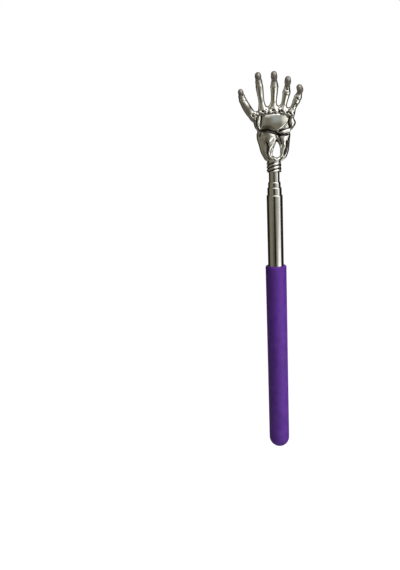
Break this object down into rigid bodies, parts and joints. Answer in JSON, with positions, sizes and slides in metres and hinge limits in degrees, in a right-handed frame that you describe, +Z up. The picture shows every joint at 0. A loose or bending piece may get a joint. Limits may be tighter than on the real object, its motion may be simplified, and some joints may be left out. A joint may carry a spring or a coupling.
{
  "type": "telescopic back scratcher",
  "caption": "Telescopic back scratcher: a cast skeleton hand with curled fingers on nested sliding and turning plated tubes, with a round-ended foam grip.",
  "frame": {"origin": "middle of the grip, on the axis of the shaft", "axes": "+Z runs up the shaft to the hand, -Y is the side that the palm and the curled fingertips face, and +X is to the right when looking at the palm, with the thumb at -X"},
  "size_m": [0.0347, 0.0154, 0.22],
  "materials": {
    "foam_grip": "matte purple foam",
    "plated_tube": "bright nickel-chrome plate",
    "plated_casting": "polished plated casting",
    "brass": "turned, unplated",
    "spring_bronze": "rolled spring strip"
  },
  "bodies": {
    "handle": {"grip": "foam_grip", "outer_tube": "plated_tube", "base_plug": "brass"},
    "second_leaves": {"second_friction_leaves": "spring_bronze"},
    "second_stage": {"second_tube": "plated_tube", "second_foot_bush": "brass"},
    "third_leaves": {"third_friction_leaves": "spring_bronze"},
    "third_stage": {"third_tube": "plated_tube", "third_foot_bush": "brass"},
    "inner_leaves": {"inner_friction_leaves": "spring_bronze"},
    "head": {"inner_tube": "plated_tube", "inner_foot_bush": "brass", "skeleton_hand": "plated_casting"}
  },
  "joints": [
    {"name": "second_slide", "type": "slide", "parent": "handle", "child": "second_leaves", "axis": [0, 0, 1], "range_m": [0, 0.12267]},
    {"name": "second_turn", "type": "hinge", "parent": "second_leaves", "child": "second_stage", "pos_m": [0, 0, 0], "axis": [0, 0, 1], "continuous": true},
    {"name": "third_slide", "type": "slide", "parent": "second_stage", "child": "third_leaves", "axis": [0, 0, 1], "range_m": [0, 0.12607]},
    {"name": "third_turn", "type": "hinge", "parent": "third_leaves", "child": "third_stage", "pos_m": [0, 0, 0], "axis": [0, 0, 1], "continuous": true},
    {"name": "inner_slide", "type": "slide", "parent": "third_stage", "child": "inner_leaves", "axis": [0, 0, 1], "range_m": [0, 0.12827]},
    {"name": "inner_turn", "type": "hinge", "parent": "inner_leaves", "child": "head", "pos_m": [0, 0, 0], "axis": [0, 0, 1], "continuous": true}
  ]
}
